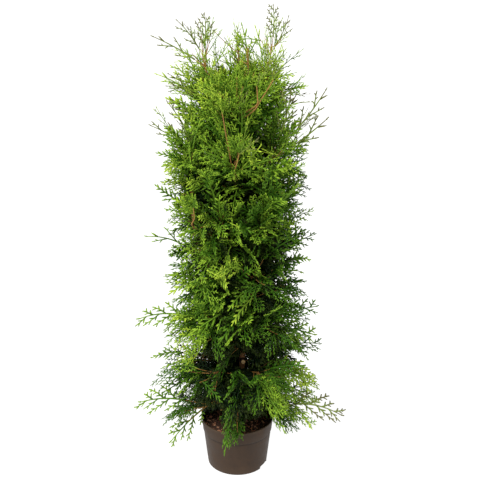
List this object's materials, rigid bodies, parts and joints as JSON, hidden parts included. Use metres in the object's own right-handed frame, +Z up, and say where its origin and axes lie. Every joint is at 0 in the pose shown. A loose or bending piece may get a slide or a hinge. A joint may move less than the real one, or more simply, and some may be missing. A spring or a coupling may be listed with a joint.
{
  "type": "potted thuja",
  "caption": "Bushy, narrow evergreen shrub about 1.2 m tall in a round nursery pot: a thin trunk with upright leaders, short boughs and dense flat sprays.",
  "frame": {"origin": "middle of the pot's flat underside", "axes": "+Z up along the plant, -Y towards the front, +X to the right seen from the front"},
  "size_m": [0.5287, 0.4164, 1.2196],
  "materials": {
    "pot": "taupe-brown moulded plastic, matt, with a soft sheen and a dusting of compost",
    "compost": "moist bark chips and coir, rough",
    "bark": "thin, stringy, orange-brown bark",
    "fresh_cut": "pale sawn end grain",
    "foliage": "flat scale-leaf sprays, lime at the tips and deep green inside, soft sheen"
  },
  "bodies": {
    "root": {"back_leader": "bark", "bough_lower_1": "bark", "bough_lower_2": "bark", "bough_lower_3": "bark", "bough_lower_4": "bark", "bough_lower_5": "bark", "bough_middle_1": "bark", "bough_middle_2": "bark", "bough_middle_3": "bark", "bough_middle_4": "bark", "bough_skirt_1": "bark", "bough_skirt_2": "bark", "bough_skirt_3": "bark", "bough_skirt_4": "bark", "bough_skirt_5": "bark", "centre_leader": "bark", "compost": "compost", "foliage_back_leader_tip": "foliage", "foliage_centre_leader_tip": "foliage", "foliage_crown_1": "foliage", "foliage_crown_2": "foliage", "foliage_crown_3": "foliage", "foliage_crown_4": "foliage", "foliage_crown_5": "foliage", "foliage_left_leader_tip": "foliage", "foliage_lower_1": "foliage", "foliage_lower_2": "foliage", "foliage_lower_3": "foliage", "foliage_lower_4": "foliage", "foliage_lower_5": "foliage", "foliage_middle_1": "foliage", "foliage_middle_2": "foliage", "foliage_middle_3": "foliage", "foliage_middle_4": "foliage", "foliage_shoulder_1": "foliage", "foliage_shoulder_2": "foliage", "foliage_shoulder_3": "foliage", "foliage_shoulder_4": "foliage", "foliage_shoulder_5": "foliage", "foliage_side_leader_tip": "foliage", "foliage_skirt_1": "foliage", "foliage_skirt_2": "foliage", "foliage_skirt_3": "foliage", "foliage_skirt_4": "foliage", "foliage_skirt_5": "foliage", "foliage_top_1": "foliage", "foliage_top_2": "foliage", "foliage_top_3": "foliage", "foliage_trunk_tip": "foliage", "foliage_upper_1": "foliage", "foliage_upper_2": "foliage", "foliage_upper_3": "foliage", "foliage_upper_4": "foliage", "foliage_upper_5": "foliage", "left_leader": "bark", "pot": "pot", "pruned_stub": "fresh_cut", "side_leader": "bark", "trunk": "bark"}
  },
  "joints": []
}
